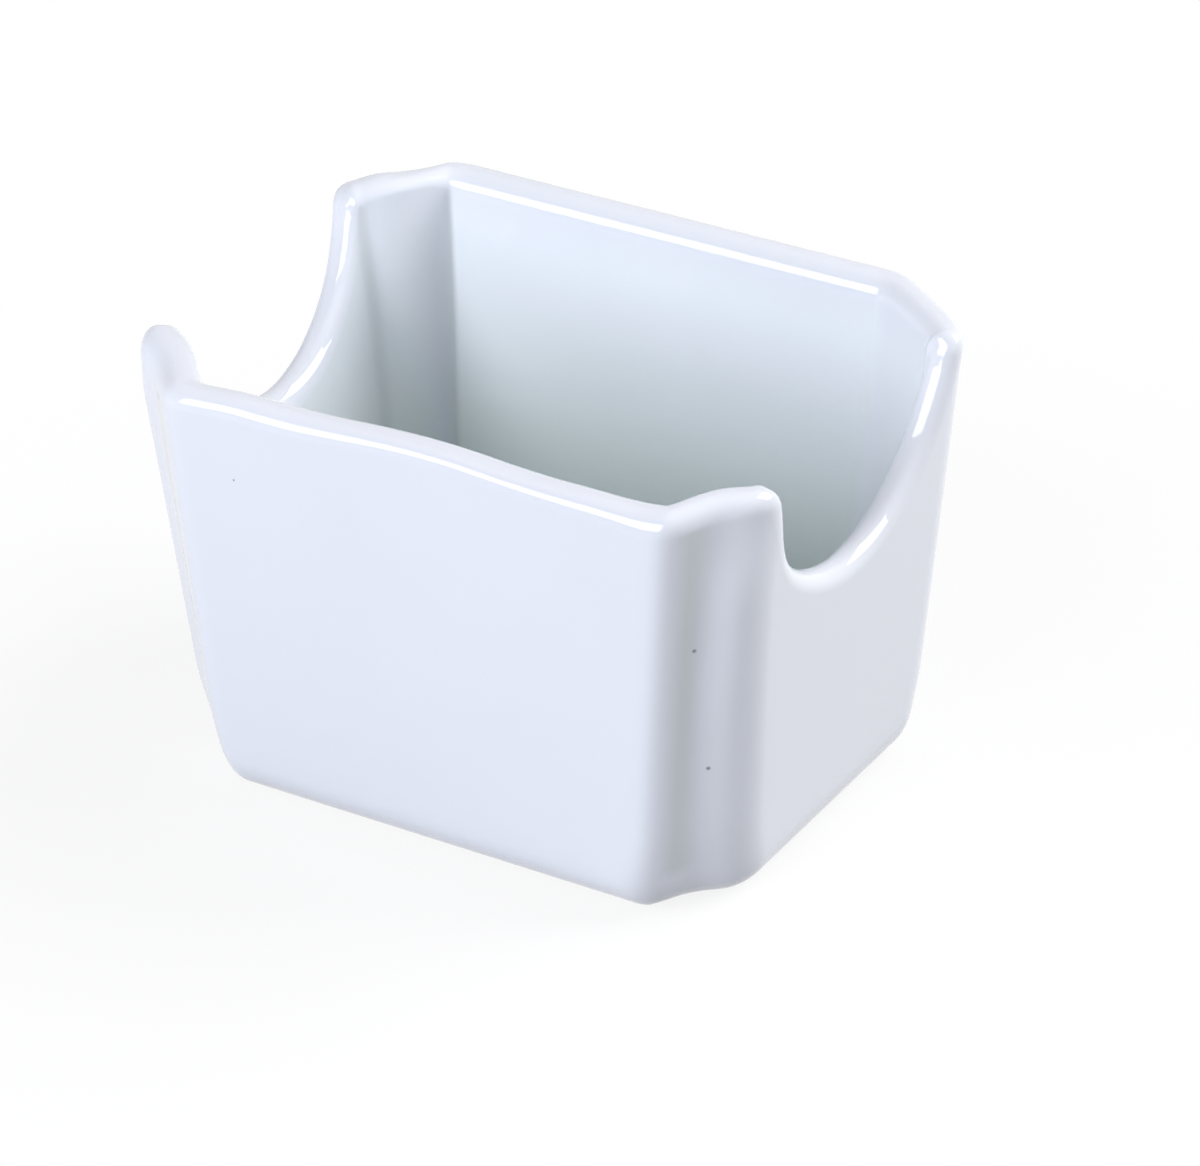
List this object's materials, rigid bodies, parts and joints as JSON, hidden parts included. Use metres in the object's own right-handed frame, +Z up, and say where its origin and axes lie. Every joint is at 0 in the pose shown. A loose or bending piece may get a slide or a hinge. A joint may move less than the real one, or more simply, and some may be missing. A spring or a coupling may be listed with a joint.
{
  "type": "sugar packet holder",
  "caption": "Open glazed porcelain tub with leaning walls, fluted corners and a finger scoop in each short end, for standing sugar packets on a table.",
  "frame": {"origin": "on the table, under the middle of the holder", "axes": "+X along the long walls towards one scooped end, -Y out of the long wall that faces the viewer in the picture, +Z up"},
  "size_m": [0.0938, 0.0728, 0.0625],
  "materials": {
    "porcelain": "matte bare fired clay",
    "glaze": "gloss white glaze"
  },
  "bodies": {
    "root": {"porcelain_body": "porcelain", "glaze_coat": "glaze", "underside_glaze": "glaze"}
  },
  "joints": []
}
